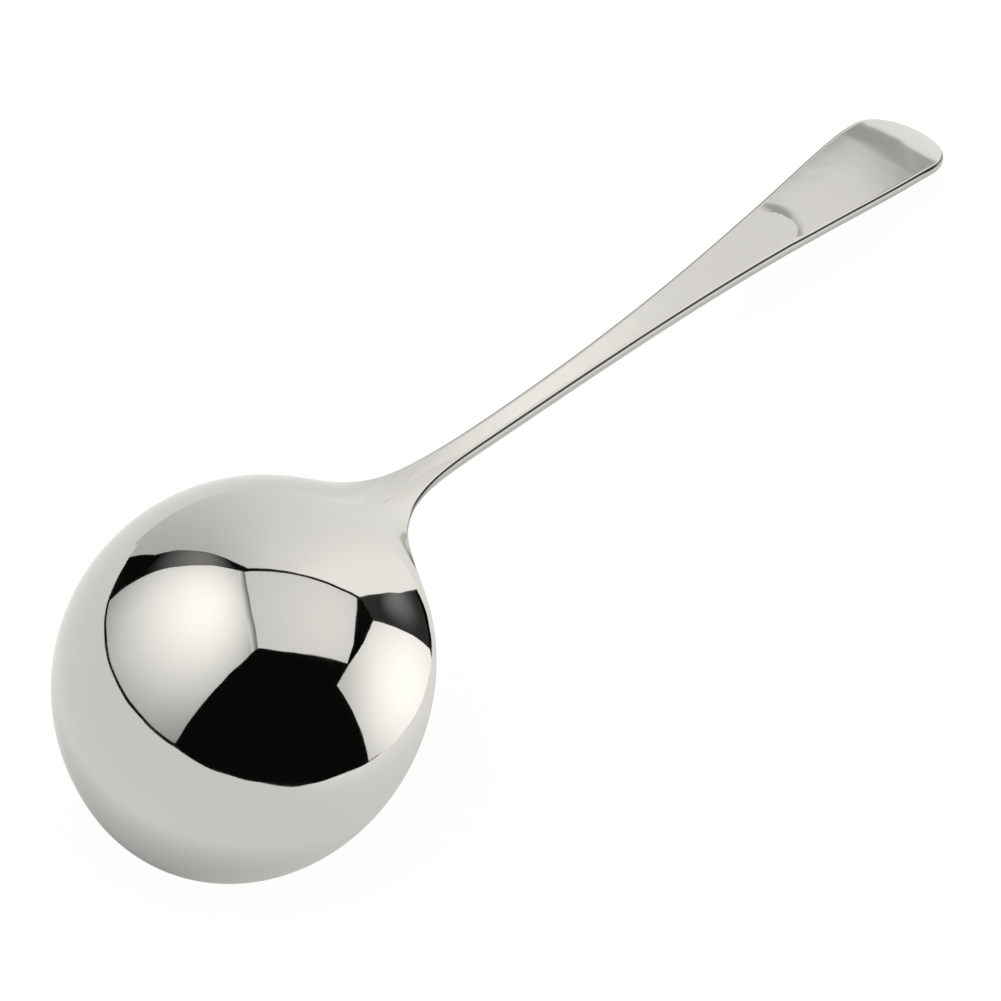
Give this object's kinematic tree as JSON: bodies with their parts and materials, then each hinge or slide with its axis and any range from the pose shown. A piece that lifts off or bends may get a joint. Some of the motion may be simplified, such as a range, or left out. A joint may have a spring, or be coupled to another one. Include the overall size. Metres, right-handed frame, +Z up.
{
  "type": "coffee spoon",
  "caption": "Polished coffee spoon with a deep round bowl, a narrow hollowed neck and a flat handle that widens to a rounded, turned-down end, lying face down.",
  "frame": {"origin": "on the table, under the middle of the spoon's length and width", "axes": "+X along the handle from the bowl to the handle's tip, +Z up from the table, +Y to the left of the handle"},
  "size_m": [0.1627, 0.0502, 0.034],
  "materials": {
    "polished_steel": "polished"
  },
  "bodies": {
    "root": {"bowl": "polished_steel", "neck": "polished_steel", "stem": "polished_steel", "handle_end": "polished_steel"}
  },
  "joints": []
}
